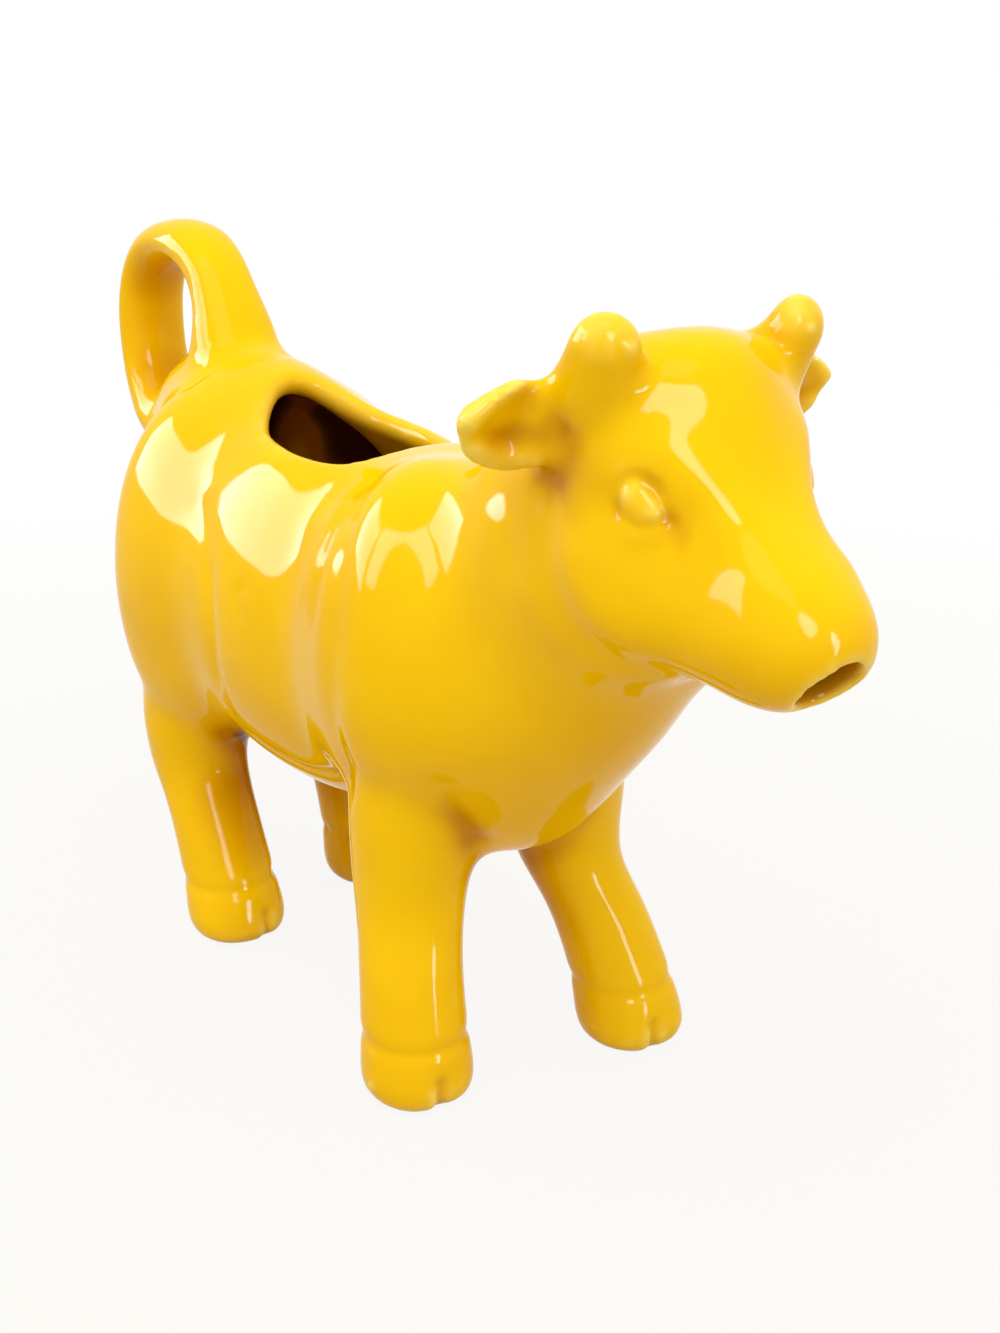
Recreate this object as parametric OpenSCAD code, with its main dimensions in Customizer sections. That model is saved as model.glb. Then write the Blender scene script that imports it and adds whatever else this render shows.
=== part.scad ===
// Cow creamer: a glazed slip-cast milk jug in the shape of a standing cow.
// Milk goes in through the oval filler hole in the back and pours out through the mouth.
// The curled tail is the handle. Every piece is cast or pressed on its own and luted on with slip.
// X runs the way the cow faces, Y to its left and Z up from the table.

/* [Trunk] */
// Length of the trunk, from the rump to the brisket
body_length = 130; // [120:1:140]
// Width that the trunk muscles are laid out in
body_width = 60; // [56:1:66]
// Height of the trunk, from the tops of the legs to the back
body_rise = 64; // [60:1:68]
// Thickness of the cast wall
wall = 4; // [3:0.25:4.5]
// How softly one muscle runs into the next
muscle_blend = 8; // [6:1:10]

/* [Filler hole] */
// Length of the oval hole in the back
filler_length = 43; // [38:1:46]
// Width of the oval hole in the back
filler_width = 29; // [24:1:31]

/* [Head] */
// Length of the head, from the nape to the nose
head_length = 52; // [48:1:56]
// Width that the head muscles are laid out in
head_width = 36; // [33:1:39]
// Depth of the head, from the chin to the poll
head_depth = 44; // [41:1:47]
// Width of the pouring hole in the mouth
spout_width = 8.5; // [7:0.5:10]
// Height of the pouring hole in the mouth
spout_height = 8.5; // [7:0.5:10]
// Thickness of the lip around the pouring hole
spout_lip = 2; // [1.5:0.25:2.5]

/* [Horns and ears] */
// Length of a horn that stands clear of the head
horn_length = 9.5; // [8:0.5:11]
// Thickness of a horn at its root
horn_thickness = 10; // [9:0.5:11]
// Length of an ear that stands clear of the head
ear_length = 15.5; // [13:0.5:17]
// Width of an ear at its broadest
ear_width = 10.5; // [9:0.5:12]
// Thickness of the leaf of an ear
ear_thickness = 5; // [4:0.25:6]

/* [Legs] */
// Height of the legs, from the table up to the belly
leg_height = 28; // [25:1:31]
// Width of a hoof
hoof_width = 17; // [15:0.5:18]
// Forward reach of the front hooves from the middle of the trunk
front_reach = 34.5; // [31:0.5:38]
// Backward reach of the rear hooves from the middle of the trunk
rear_reach = 32; // [28:0.5:36]
// Distance between the middles of the two front hooves
front_stance = 36; // [32:1:38]
// Distance between the middles of the two rear hooves
rear_stance = 31; // [28:1:34]
// How much further out along the cow the left hooves stand than the right ones
stride = 6; // [0:0.5:7]

/* [Tail handle] */
// Width of the tail strap
tail_width = 14; // [12:0.5:16]
// Thickness of the tail strap
tail_thickness = 8; // [7:0.25:9]
// Height of the tail loop over the back
tail_rise = 22; // [19:1:25]
// Length of the tail loop along the cow
tail_span = 36; // [32:1:38]

/* [Udder] */
// Width of the udder
udder_width = 15; // [12:0.5:17]
// Length of each teat
teat_length = 1.5; // [1:0.25:2]

/* [View] */
// Which piece to show

/* [Hidden] */
glaze = [0.95, 0.74, 0.05];

// Points around a half ring, a leg, the tail strap and the small pieces
half_count = 24;
leg_count = 24;
strap_count = 20;
small_count = 16;
// Rings laid between two rows of the tail's path
strap_steps = 3;
// Steps that a ray takes to settle on the skin
settle_steps = 12;
// Size of a vector too short to divide by
tiny = 1e-6;
// Film of slip between two pieces that are luted together
slip = body_width / 260;
// Longest step that a ray takes towards the skin
ray_cap = body_width / 5;
left_way = [0, 1, 0];
down_way = [0, 0, -1];
right = -1;
left = 1;

trunk_size = [body_length, body_width, body_rise];
head_size = [head_length, head_width, head_depth];
function scaled(share, size) = [share.x * size.x, share.y * size.y, share.z * size.z];
function unit(v) = v / norm(v);
function mirrored(p) = [p.x, -p.y, p.z];
function flipped(faces) = [for (f = faces) [f[0], f[2], f[1]]];

// Place of the nape as shares of the trunk, which the head is laid out from
nape_shares = [0.323, 0, 0.656];
nape = [0, 0, leg_height] + scaled(nape_shares, trunk_size);

// Muscles of the trunk, each row: place x, y, z, then half sizes x, y, z, then tip up in degrees.
// Places and sizes are shares of body_length, body_width and body_rise
trunk_shares = [
    // barrel
    [-0.11, 0, 0.535, 0.36, 0.435, 0.48, -6],
    // shoulder
    [0.19, 0.18, 0.595, 0.13, 0.275, 0.405, -1],
    // brisket
    [0.265, 0, 0.55, 0.195, 0.33, 0.31, 29],
    // breastbone
    [0.21, 0, 0.315, 0.125, 0.22, 0.225, 0],
    // withers
    [0.13, 0, 0.805, 0.16, 0.22, 0.17, 1],
    // neck
    [0.38, 0, 0.86, 0.17, 0.295, 0.335, 40],
    // haunch
    [-0.31, 0.24, 0.52, 0.115, 0.22, 0.455, 1],
    // rump
    [-0.35, 0, 0.815, 0.20, 0.245, 0.285, -7]
];
// Muscles of the head in the same way, as shares of head_length, head_width and head_depth
skull_shares = [
    // cranium
    [0.345, 0, 0.585, 0.285, 0.385, 0.30, 0],
    // poll
    [0.445, 0, 0.825, 0.19, 0.245, 0.16, 7],
    // brow
    [0.485, 0.245, 0.63, 0.10, 0.13, 0.08, -11],
    // boss under the horn
    [0.37, 0.235, 0.80, 0.12, 0.15, 0.13, 0],
    // cheek
    [0.435, 0.20, 0.32, 0.24, 0.245, 0.25, -2],
    // bridge of the nose
    [0.605, 0, 0.48, 0.30, 0.19, 0.16, -39],
    // muzzle
    [0.785, 0, 0.23, 0.20, 0.28, 0.19, 2]
];
function muscle(row, size, origin) =
    [origin + scaled([row[0], row[1], row[2]], size), scaled([row[3], row[4], row[5]], size),
        cos(row[6]), sin(row[6])];
muscles = concat(
    [for (row = trunk_shares) muscle(row, trunk_size, [0, 0, leg_height])],
    [for (row = skull_shares) muscle(row, head_size, nape)]);

// Smaller of two distances, rounded where they meet
function soft(a, b) =
    let (meet = max(muscle_blend - abs(a - b), 0)) min(a, b) - meet * meet / (4 * muscle_blend);
// Distance from p to one muscle, which is an egg tipped in the XZ plane
function muscle_gap(p, m) =
    let (
        q = p - m[0],
        u = [(q.x * m[2] + q.z * m[3]) / m[1].x, q.y / m[1].y, (q.z * m[2] - q.x * m[3]) / m[1].z],
        n = norm(u),
        g = norm([u.x / m[1].x, u.y / m[1].y, u.z / m[1].z])
    ) n * (n - 1) / max(g, tiny);
function muscles_gap(p, i, gap) =
    i == len(muscles) ? gap : muscles_gap(p, i + 1, soft(gap, muscle_gap(p, muscles[i])));
// Distance from the skin, the left side standing for both
function skin_gap(p) =
    let (q = [p.x, abs(p.y), p.z]) muscles_gap(q, 1, muscle_gap(q, muscles[0]));
function capped(t) = min(max(t, -ray_cap), ray_cap);
// Length of the ray from o along d, from inside, to the place that lies depth under the skin
function ray(o, d, depth, n = settle_steps, t = 0) =
    n == 0 ? t : ray(o, d, depth, n - 1, t + capped(-depth - skin_gap(o + t * d)));
// Where the ray from p along d, from outside, comes down a film of slip short of the skin
function land(p, d, n = settle_steps, t = 0) =
    n == 0 ? p + t * d : land(p, d, n - 1, t + capped(skin_gap(p + t * d) - slip));
// Underside of the trunk at the place p, less a film of slip
belly_share = 0.5;
function under_trunk(p) =
    let (o = [p.x, p.y, leg_height + body_rise * belly_share])
        o + ray(o, down_way, -slip) * down_way;

// Path of the tail strap from the back over to the rump, as shares of tail_span and tail_rise,
// then half width and half thickness as shares of tail_width and tail_thickness
tail_shares = [
    [0.09, 0.42, 0.5, 0.54], [0.15, 0.62, 0.45, 0.46],
    [0.25, 0.83, 0.45, 0.46], [0.41, 0.98, 0.46, 0.46], [0.60, 1.0, 0.46, 0.46],
    [0.78, 0.92, 0.46, 0.46], [0.92, 0.70, 0.46, 0.46], [0.98, 0.40, 0.46, 0.48],
    [0.97, 0.06, 0.46, 0.5], [0.91, -0.22, 0.48, 0.52], [0.80, -0.44, 0.5, 0.56]
];
tail_root_share = -0.37;
tail_root = [body_length * tail_root_share, 0, leg_height + body_rise];
// Share of tail_thickness by which the loop bulges back past its path
tail_bulge_share = 0.48;

// X of the halfway place between the back of the tail and the nose, which goes to zero
nose_row = skull_shares[len(skull_shares) - 1];
nose_x = nape.x + head_length * (nose_row[0] + nose_row[3]);
tail_x = tail_root.x - tail_span * max([for (s = tail_shares) s[0]])
    - tail_thickness * tail_bulge_share;
centring = [-(nose_x + tail_x) / 2, 0, 0];
module piece(points, faces) {
    color(glaze)
        polyhedron([for (p = points) p + centring], faces, convexity = 8);
}

// A station is [x, z, tilt, cap]: the middle of a ring of skin, how far the ring's plane leans
// back, and how far its spokes reach on past that plane
function spoke(s, a) =
    let (c = cos(s[3]), e = sin(s[3]))
        [e * cos(s[2]) - c * cos(a) * sin(s[2]), c * sin(a), e * sin(s[2]) + c * cos(a) * cos(s[2])];
function skin_point(s, a, depth) =
    let (
        o = [s[0], 0, s[1]],
        d = spoke(s, a)
    ) o + ray(o, d, depth) * d;
// One ring from the top round the left side to the foot, and back up the right side
function whole_ring(half) =
    concat(half, [for (i = [len(half) - 2:-1:0]) mirrored(half[i])]);
function skin_ring(s, depth, count, open = 0) =
    whole_ring([for (i = [0:count]) skin_point(s, open + (180 - open) * i / count, depth)]);

rump_share = -0.32;
spine_share = 0.625;
filler_share = -0.088;
rump_x = body_length * rump_share;
spine_z = leg_height + body_rise * spine_share;
rump_caps = [-82, -74, -66, -57, -48, -39, -30, -20, -10, 0];
filler_x = body_length * filler_share;
filler_steps = 12;
function filler_station(k) =
    [filler_x - cos(180 * k / filler_steps) * filler_length / 2, spine_z, 0, 0];
// Turn from the top of a ring to the edge of the hole, settled so that the edge is half_gap out
function filler_turn(s, half_gap, n = 4, a = 30) =
    n == 0 ? a : filler_turn(s, half_gap, n - 1,
        asin(half_gap / ray([s[0], 0, s[1]], spoke(s, a), 0)));
function filler_open(k) =
    filler_turn(filler_station(k), sin(180 * k / filler_steps) * filler_width / 2);
// Fan of stations that leans back into the neck, as shares of body_length and body_rise
neck_shares = [
    [0.135, 0.625, 0], [0.17, 0.63, 3], [0.205, 0.65, 8], [0.245, 0.69, 13], [0.29, 0.735, 19],
    [0.33, 0.775, 25], [0.37, 0.827, 31], [0.403, 0.87, 36], [0.43, 0.906, 40]
];
function neck_station(s) = [body_length * s[0], leg_height + body_rise * s[1], s[2], 0];
neck_joint = neck_station(neck_shares[len(neck_shares) - 1]);
trunk_stations = concat(
    [for (a = rump_caps) [rump_x, spine_z, 0, a]],
    [for (k = [0:filler_steps]) filler_station(k)],
    [for (s = neck_shares) neck_station(s)]);
filler_from = len(rump_caps);
filler_to = filler_from + filler_steps;
opens = [for (j = [0:len(trunk_stations) - 1])
    j > filler_from && j < filler_to ? filler_open(j - filler_from) : 0];
function trunk_rings(depth, count) =
    [for (j = [0:len(trunk_stations) - 1]) skin_ring(trunk_stations[j], depth, count, opens[j])];

// Place in the point list of point i on ring j, the two ends of a closed ring being one point
function at(base, count, j, i) =
    base + j * (2 * count + 1) + (i == 2 * count && opens[j] == 0 ? 0 : i);
// Two triangles for each cell between ring j and the next, cut alike on both sides
function cell(a, b, c, d, near) = near ? [[a, b, c], [a, c, d]] : [[a, b, d], [b, c, d]];
function trunk_skin(base, count, rows) = [
    for (j = [0:rows - 2], i = [0:2 * count - 1])
        each cell(at(base, count, j, i), at(base, count, j, i + 1),
            at(base, count, j + 1, i + 1), at(base, count, j + 1, i), i < count)
];
// Point numbers once round the filler hole, along the left edge and back along the right
function filler_rim(base, count) = concat(
    [for (j = [filler_from:filler_to]) at(base, count, j, 0)],
    [for (j = [filler_to - 1:-1:filler_from + 1]) at(base, count, j, 2 * count)]);

// Rounded edge of the wall between the outer rim and the inner one
rim_steps = 6;
function rim_point(p, q, along, turn) =
    let (
        half = (p - q) / 2,
        inward = unit(cross(along, half)) * norm(half)
    ) (p + q) / 2 + half * cos(turn) + inward * sin(turn);

// Closed shell of the trunk: outer skin, rolled rim of the filler hole, inner skin, open neck
function trunk_faces(outer_rim, inner_rim, rim_base, inner_base, pole) =
    let (
        count = half_count,
        inner_count = half_count / 2,
        rows = len(trunk_stations),
        rim = len(outer_rim),
        loops = concat([outer_rim],
            [for (s = [1:rim_steps - 1]) [for (k = [0:rim - 1]) rim_base + (s - 1) * rim + k]],
            [inner_rim])
    ) concat(
        trunk_skin(0, count, rows),
        flipped(trunk_skin(inner_base, inner_count, rows)),
        [for (i = [0:2 * count - 1]) [pole, at(0, count, 0, i + 1), at(0, count, 0, i)]],
        [for (i = [0:2 * inner_count - 1])
            [pole + 1, at(inner_base, inner_count, 0, i), at(inner_base, inner_count, 0, i + 1)]],
        [for (s = [0:rim_steps - 1], k = [0:rim - 1])
            let (n = (k + 1) % rim)
                each [[loops[s][k], loops[s][n], loops[s + 1][n]],
                    [loops[s][k], loops[s + 1][n], loops[s + 1][k]]]],
        // flat ring of wall that the head is luted to
        [for (k = [0:2 * inner_count - 1])
            let (
                a = at(0, count, rows - 1, 2 * k),
                b = at(0, count, rows - 1, 2 * k + 1),
                c = at(0, count, rows - 1, 2 * k + 2),
                d = at(inner_base, inner_count, rows - 1, k),
                e = at(inner_base, inner_count, rows - 1, k + 1)
            ) each [[a, b, d], [b, e, d], [b, c, e]]]);

module body() {
    outer = trunk_rings(0, half_count);
    inner = trunk_rings(wall, half_count / 2);
    skins = concat([for (r = outer) each r], [for (r = inner) each r]);
    inner_base = len(trunk_stations) * (2 * half_count + 1);
    outer_rim = filler_rim(0, half_count);
    inner_rim = filler_rim(inner_base, half_count / 2);
    rim = len(outer_rim);
    rims = [
        for (s = [1:rim_steps - 1], k = [0:rim - 1])
            rim_point(skins[outer_rim[k]], skins[inner_rim[k]],
                skins[outer_rim[(k + 1) % rim]] - skins[outer_rim[(k + rim - 1) % rim]],
                180 * s / rim_steps)
    ];
    poles = [for (depth = [0, wall]) skin_point([rump_x, spine_z, 0, -90], 0, depth)];
    rim_base = len(skins);
    piece(concat(skins, rims, poles),
        trunk_faces(outer_rim, inner_rim, rim_base, inner_base, rim_base + len(rims)));
}

// Spine of the head, as shares of head_length and head_depth from the nape
head_shares = [
    [0.30, 0.386, 36], [0.35, 0.42, 30], [0.395, 0.443, 22], [0.44, 0.455, 14], [0.49, 0.452, 6],
    [0.54, 0.435, -2], [0.59, 0.41, -9], [0.635, 0.38, -15], [0.68, 0.345, -20],
    [0.72, 0.31, -25], [0.755, 0.28, -31], [0.785, 0.255, -36]
];
function head_station(s) = [nape.x + head_length * s[0], nape.z + head_depth * s[1], s[2], 0];
head_stations = concat([neck_joint], [for (s = head_shares) head_station(s)]);
mouth = head_stations[len(head_stations) - 1];
mouth_caps = [12, 24, 35];
// A place on the skin around the mouth, out from the edge of the hole and sunk into it
function spout_point(a, out, sink) =
    let (
        axis = spoke([mouth[0], mouth[1], mouth[2], 90], 0),
        up = spoke(mouth, 0),
        o = [mouth[0], 0, mouth[1]] + up * cos(a) * (spout_height / 2 + out)
            + left_way * sin(a) * (spout_width / 2 + out)
    ) o + axis * (ray(o, axis, 0) - sink);
// Lip of the mouth, each row: out from the edge and sunk, as shares of spout_lip
lip_shares = [[1, 0], [0.5, -0.05], [0.18, 0.12], [0, 0.5]];
function spout_ring(out, sink) =
    whole_ring([for (i = [0:half_count]) spout_point(180 * i / half_count, out, sink)]);
function closed_loop(ring) = [for (i = [0:len(ring) - 2]) ring[i]];
// Faces of a tube of rings that is closed into a ring itself
function tube_faces(n, rings) = [
    for (r = [0:rings - 1], i = [0:n - 1])
        let (a = r * n, b = (r + 1) % rings * n, k = (i + 1) % n)
            each cell(a + i, a + k, b + k, b + i, i < n / 2)
];

module head() {
    caps = [for (c = mouth_caps) [mouth[0], mouth[1], mouth[2], c]];
    last = len(head_stations) - 1;
    loops = concat(
        [for (st = concat(head_stations, caps)) skin_ring(st, 0, half_count)],
        [for (s = lip_shares) spout_ring(s[0] * spout_lip, s[1] * spout_lip)],
        [spout_ring(0, wall)],
        [for (k = [last:-2:1]) skin_ring(head_stations[k], wall, half_count)],
        [skin_ring(neck_joint, wall, half_count)]);
    piece([for (l = loops) each closed_loop(l)], tube_faces(2 * half_count, len(loops)));
}

// A solid piece that is luted on: a stack of loops with a point at either end
function stack_faces(n, rings) = concat(
    [for (i = [0:n - 1]) [0, 1 + i, 1 + (i + 1) % n]],
    [for (r = [0:rings - 2], i = [0:n - 1])
        let (a = 1 + r * n, b = a + n, k = (i + 1) % n)
            each cell(a + i, b + i, b + k, a + k, i < n / 2)],
    [for (i = [0:n - 1]) let (a = 1 + (rings - 1) * n) [1 + rings * n, a + (i + 1) % n, a + i]]);
module stack(start, loops, end, side = left) {
    points = concat([start], [for (l = loops) each l], [end]);
    faces = stack_faces(len(loops[0]), len(loops));
    piece(side == left ? points : [for (p = points) mirrored(p)],
        side == left ? faces : flipped(faces));
}
function turns(count) = [for (i = [0:count - 1]) 360 * i / count];

// Leg from the sole up, each row: height as a share of leg_height, then half length, half width
// and depth of the cleft as shares of hoof_width
leg_shares = [
    [0, 0.43, 0.42, 0.04], [0.04, 0.48, 0.47, 0.06], [0.12, 0.51, 0.50, 0.08],
    [0.20, 0.495, 0.485, 0.05], [0.25, 0.465, 0.455, 0], [0.30, 0.475, 0.465, 0],
    [0.40, 0.47, 0.46, 0], [0.58, 0.455, 0.45, 0], [0.78, 0.46, 0.45, 0], [1, 0.48, 0.47, 0]
];
// Above the belly line, each row: share of the way up to the trunk, half length and half width
root_shares = [[0.5, 0.5, 0.49], [1, 0.54, 0.52]];
// Loops across the saddle that sits under the trunk, as shares of the root
saddle_shares = [0.68, 0.34];
front_top_shares = [0.19, 0.245];
rear_top_shares = [-0.335, 0.24];
function leg_top(shares) = [body_length * shares.x, body_width * shares.y, 0];
function front_foot(side) = [front_reach + side * stride / 2, front_stance / 2, 0];
function rear_foot(side) = [-rear_reach - side * stride / 2, rear_stance / 2, 0];
// Spread of the cleft to either side of the toe, in degrees
cleft_spread = 14;
// How late a leg leans from its hoof towards its root, along the cow and across it
leg_lean = [1.45, 2.2];
function oval(c, half_x, half_y, a, notch = 0) =
    let (r = 1 - notch * exp(-pow(min(a, 360 - a) / cleft_spread, 2)))
        c + [half_x * r * cos(a), half_y * r * sin(a), 0];
module leg(foot, top, side) {
    shank = [for (s = leg_shares)
        let (
            lean = [pow(s[0], leg_lean.x), pow(s[0], leg_lean.y), 0],
            c = foot + scaled(lean, top - foot) + [0, 0, leg_height * s[0]]
        )
            [for (a = turns(leg_count))
                oval(c, s[1] * hoof_width, s[2] * hoof_width, a, s[3] / s[1])]];
    root = [for (s = root_shares) [for (a = turns(leg_count))
        let (p = oval(top, s[1] * hoof_width, s[2] * hoof_width, a))
            [p.x, p.y, leg_height + (under_trunk(p).z - leg_height) * s[0]]]];
    brim = [for (p = root[len(root) - 1]) [p.x, p.y, 0]];
    saddle = [for (s = saddle_shares) [for (p = brim) under_trunk(top + (p - top) * s)]];
    stack(foot, concat(shank, root, saddle), under_trunk(top), side);
}

// Loops of a small piece where it comes down on the head, as shares of its root
foot_shares = [0.5, 1];
horn_root_shares = [0.40, 0.385, 0.845];
horn_way_shares = [0.54, 0.19, 0.82];
// How far the root may hang down the side of the head, as a share of half horn_thickness
horn_hang_share = 0.5;
// Horn from root to tip, as shares of horn_length and of half horn_thickness
horn_shares = [
    [0.15, 0.96], [0.35, 0.90], [0.55, 0.85], [0.72, 0.80], [0.85, 0.68], [0.94, 0.46], [0.985, 0.22]
];
module horn(side) {
    way = unit(horn_way_shares);
    ahead = unit(cross(left_way, way));
    out = cross(way, ahead);
    half = horn_thickness / 2;
    high = nape + scaled(horn_root_shares, head_size) + way * horn_length / 2;
    base = land(high, -way);
    deep = norm(high - base) + half * horn_hang_share;
    function round_place(c, a, r) = c + (ahead * cos(a) + out * sin(a)) * half * r;
    function seat(p) = p - way * min(norm(land(p, -way) - p), deep);
    feet = [for (k = foot_shares) [for (a = turns(small_count)) seat(round_place(high, a, k))]];
    rings = [for (s = horn_shares) [for (a = turns(small_count))
        round_place(base + way * horn_length * s[0], a, s[1])]];
    stack(base, concat(feet, rings), base + way * horn_length, side);
}

ear_root_shares = [0.30, 0.38, 0.69];
ear_way_shares = [0.08, 0.94, 0.33];
ear_lean_shares = [0.35, 0, 0.94];
// Root of the ear: half width and half thickness as shares of ear_width and ear_thickness
ear_foot_shares = [0.33, 0.55];
// Ear from root to tip: place along ear_length, then half width, half thickness and cup,
// as shares of ear_width and ear_thickness
ear_shares = [
    [0.1, 0.36, 0.52, 0], [0.22, 0.43, 0.5, 0.2], [0.36, 0.49, 0.5, 0.5], [0.5, 0.5, 0.5, 0.6],
    [0.64, 0.46, 0.48, 0.5], [0.77, 0.38, 0.42, 0.3], [0.88, 0.27, 0.36, 0.1], [0.96, 0.14, 0.22, 0]
];
module ear(side) {
    way = unit(ear_way_shares);
    up = unit(ear_lean_shares - way * (ear_lean_shares * way));
    front = cross(way, up);
    high = nape + scaled(ear_root_shares, head_size) + way * ear_length / 2;
    base = land(high, -way);
    // a leaf of two rounded faces, the front one hollowed by the cup
    function leaf(c, a, wide, thick, cup) =
        let (dent = sin(a) > 0 ? cup * (1 + thick) * pow(sin(a), 2) / 2 : 0)
            c + up * cos(a) * wide * ear_width
                + front * ear_thickness * (thick * sin(a) - dent);
    feet = [for (k = foot_shares) [for (a = turns(small_count))
        land(leaf(high, a, ear_foot_shares[0] * k, ear_foot_shares[1] * k, 0), -way)]];
    rings = [for (s = ear_shares) [for (a = turns(small_count))
        leaf(base + way * ear_length * s[0], a, s[1], s[2], s[3])]];
    stack(base, concat(feet, rings), base + way * ear_length, side);
}

// Ways in which the two ends of the tail come down on the rump
tail_front_shares = [0.2, 0, -1];
tail_rear_shares = [0.9, 0, -0.45];
// Spread of the tail's ends, half width and half thickness
tail_front_foot = [0.58, 0.72];
tail_rear_foot = [0.54, 0.64];
// Value at t between rows b and c of a path, running smoothly on from row a and into row d
function smooth(a, b, c, d, t) =
    (2 * b + (c - a) * t + (2 * a - 5 * b + 4 * c - d) * t * t
        + (3 * b - 3 * c + d - a) * t * t * t) / 2;
function smooth_rows(rows, steps) =
    let (n = len(rows) - 1) concat([for (k = [0:n - 1], i = [0:steps - 1])
        smooth(rows[max(k - 1, 0)], rows[k], rows[k + 1], rows[min(k + 2, n)], i / steps)],
        [rows[n]]);
function strap(c, way, wide, thick, a) =
    c + left_way * cos(a) * wide * tail_width
        + cross(way, left_way) * sin(a) * thick * tail_thickness;
module tail_handle() {
    rows = smooth_rows(tail_shares, strap_steps);
    n = len(rows);
    mids = [for (s = rows) tail_root + [-tail_span * s[0], 0, tail_rise * s[1]]];
    ways = [for (k = [0:n - 1]) unit(mids[min(k + 1, n - 1)] - mids[max(k - 1, 0)])];
    rings = [for (k = [0:n - 1]) [for (a = turns(strap_count))
        strap(mids[k], ways[k], rows[k][2], rows[k][3], a)]];
    down = unit(tail_front_shares);
    in = unit(tail_rear_shares);
    start = [for (k = foot_shares) [for (a = turns(strap_count))
        land(strap(mids[0], -down, tail_front_foot[0] * k, tail_front_foot[1] * k, a), down)]];
    end = [for (k = [1, foot_shares[0]]) [for (a = turns(strap_count))
        land(strap(mids[n - 1], in, tail_rear_foot[0] * k, tail_rear_foot[1] * k, a), in)]];
    stack(land(mids[0], down), concat(start, rings, end), land(mids[n - 1], in));
}

udder_share = -0.24;
// How far the udder hangs, as a share of udder_width
udder_drop_share = 0.4;
// Rings of the udder out from its middle, as shares of half udder_width
udder_shares = [0.14, 0.28, 0.4, 0.52, 0.64, 0.78, 0.9, 0.98];
udder_count = 32;
// How far out each teat stands and how thick it is, as shares of half udder_width
teat_share = 0.46;
teat_size_share = 0.15;
function teat(x, y) =
    let (
        far = min([for (a = turns(4))
            norm([x - teat_share * cos(a + 45), y - teat_share * sin(a + 45)])])
    ) exp(-pow(far / teat_size_share, 2));
module udder() {
    half = udder_width / 2;
    middle = [body_length * udder_share, 0, 0];
    function flat(s, a) = middle + [half * s * cos(a), half * s * sin(a), 0];
    brim = [for (k = foot_shares) [for (a = turns(udder_count)) under_trunk(flat(k, a))]];
    // the bag is half an egg with four teats standing out of it
    function bag(s, a) =
        let (
            p = under_trunk(flat(s, a)),
            hang = udder_width * udder_drop_share * sqrt(1 - s * s)
        ) [p.x, p.y, p.z - hang - teat_length * teat(s * cos(a), s * sin(a))];
    bags = [for (k = [len(udder_shares) - 1:-1:0]) [for (a = turns(udder_count))
        bag(udder_shares[k], a)]];
    stack(under_trunk(middle), [for (l = concat(brim, bags)) [for (i = [len(l) - 1:-1:0]) l[i]]],
        bag(0, 0));
}

body();
head();
leg(front_foot(right), leg_top(front_top_shares), right);  // leg_front_right
leg(front_foot(left), leg_top(front_top_shares), left);  // leg_front_left
leg(rear_foot(right), leg_top(rear_top_shares), right);  // leg_rear_right
leg(rear_foot(left), leg_top(rear_top_shares), left);  // leg_rear_left
horn(right);  // horn_right
horn(left);  // horn_left
ear(right);  // ear_right
ear(left);  // ear_left
tail_handle();
udder();
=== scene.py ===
import bpy
import math
import numpy as np
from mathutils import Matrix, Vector
from mathutils.bvhtree import BVHTree


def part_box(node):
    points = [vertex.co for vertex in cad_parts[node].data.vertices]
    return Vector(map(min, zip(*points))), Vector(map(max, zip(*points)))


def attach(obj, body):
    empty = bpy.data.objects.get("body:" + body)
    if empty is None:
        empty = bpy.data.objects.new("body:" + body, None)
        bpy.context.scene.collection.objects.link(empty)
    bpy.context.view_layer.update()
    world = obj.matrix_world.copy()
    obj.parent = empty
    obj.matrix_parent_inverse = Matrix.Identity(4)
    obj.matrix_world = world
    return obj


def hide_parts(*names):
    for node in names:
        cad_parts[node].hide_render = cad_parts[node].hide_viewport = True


# Yellow glazed cow creamer. The luted clay pieces are fused, smoothed, modelled and glazed,
# then parted again into the pieces that they were luted from.

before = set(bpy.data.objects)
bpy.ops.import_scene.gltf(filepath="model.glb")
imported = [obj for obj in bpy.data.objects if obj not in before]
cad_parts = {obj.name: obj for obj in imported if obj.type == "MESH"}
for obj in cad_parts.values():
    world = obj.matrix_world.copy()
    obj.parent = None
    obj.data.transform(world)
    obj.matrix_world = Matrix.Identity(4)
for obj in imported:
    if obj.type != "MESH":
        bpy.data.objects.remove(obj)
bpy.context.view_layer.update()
mm = 0.001
nodeNames = list(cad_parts)
lutedNodes = [node for node in nodeNames if node not in ("body", "head")]


# Tools of the bench

def choose(*objs):
    bpy.ops.object.select_all(action="DESELECT")
    for obj in objs:
        obj.select_set(True)
    bpy.context.view_layer.objects.active = objs[0]


def finishWith(obj, kind, **settings):
    modifier = obj.modifiers.new(kind, kind)
    for name, value in settings.items():
        setattr(modifier, name, value)
    choose(obj)
    bpy.ops.object.modifier_apply(modifier=modifier.name)


def inEditMode(obj, *steps):
    choose(obj)
    bpy.ops.object.mode_set(mode="EDIT")
    bpy.ops.mesh.select_mode(type="FACE")
    for step in steps:
        step()
    bpy.ops.object.mode_set(mode="OBJECT")


def places(obj):
    co = np.empty(len(obj.data.vertices) * 3)
    obj.data.vertices.foreach_get("co", co)
    return co.reshape(-1, 3)


def normals(obj):
    no = np.empty(len(obj.data.vertices) * 3, np.float32)
    obj.data.vertex_normals.foreach_get("vector", no)
    return no.reshape(-1, 3).astype(float)


def movePlaces(obj, co):
    obj.data.vertices.foreach_set("co", co.ravel())
    obj.data.update()


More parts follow.
